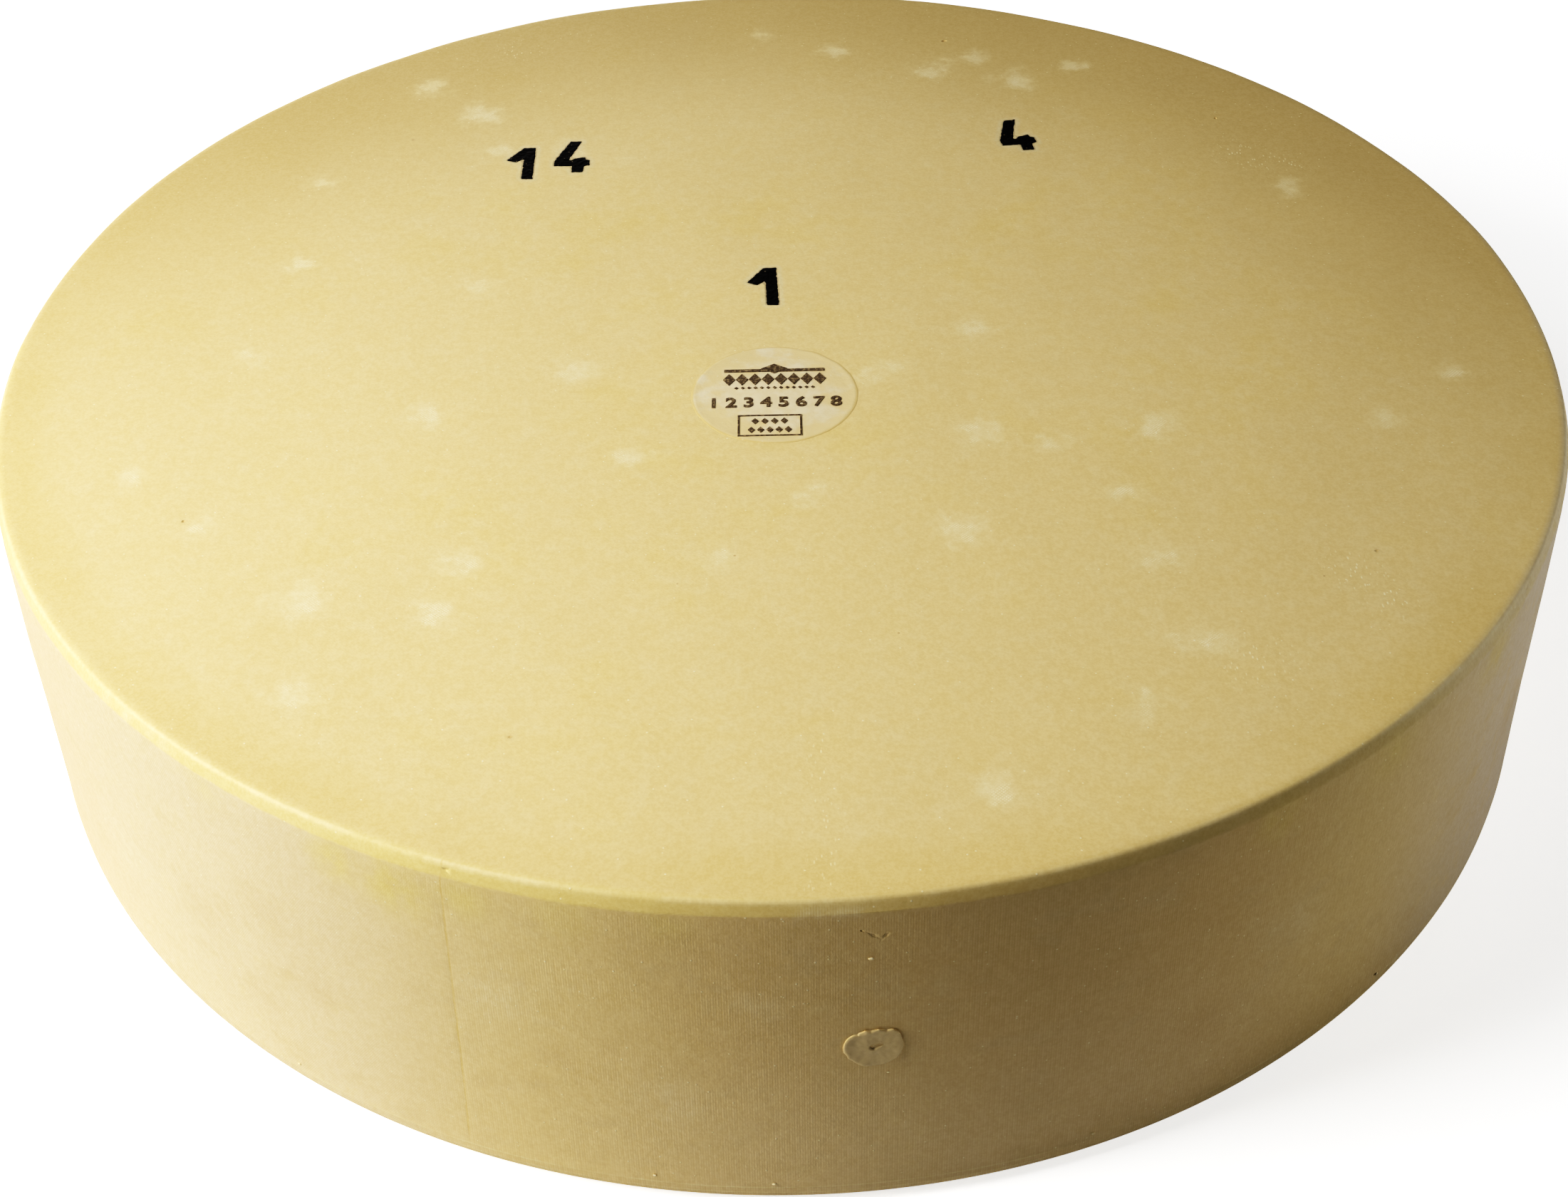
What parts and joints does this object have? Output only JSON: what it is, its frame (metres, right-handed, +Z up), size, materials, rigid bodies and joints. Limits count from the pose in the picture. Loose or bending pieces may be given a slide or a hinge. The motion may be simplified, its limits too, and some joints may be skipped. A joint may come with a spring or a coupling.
{
  "type": "cheese wheel",
  "caption": "Large wheel of extra-hard cheese with a straight side, rounded edges and a casein label and digits pressed level with its top.",
  "frame": {"origin": "centre of the flat base, on the surface that the wheel rests on", "axes": "+Z up along the wheel's axis, the shortest extent; the label and digits read from -Y"},
  "size_m": [0.6038, 0.6038, 0.142],
  "materials": {
    "rind": "satin, with a fine cloth imprint",
    "pale_casein": "satin",
    "black_casein": "satin"
  },
  "bodies": {
    "root": {"cheese_wheel": "rind", "casein_label": "pale_casein", "casein_one_by_label": "black_casein", "casein_one_of_pair": "black_casein", "casein_four_of_pair": "black_casein", "casein_four_alone": "black_casein"}
  },
  "joints": []
}
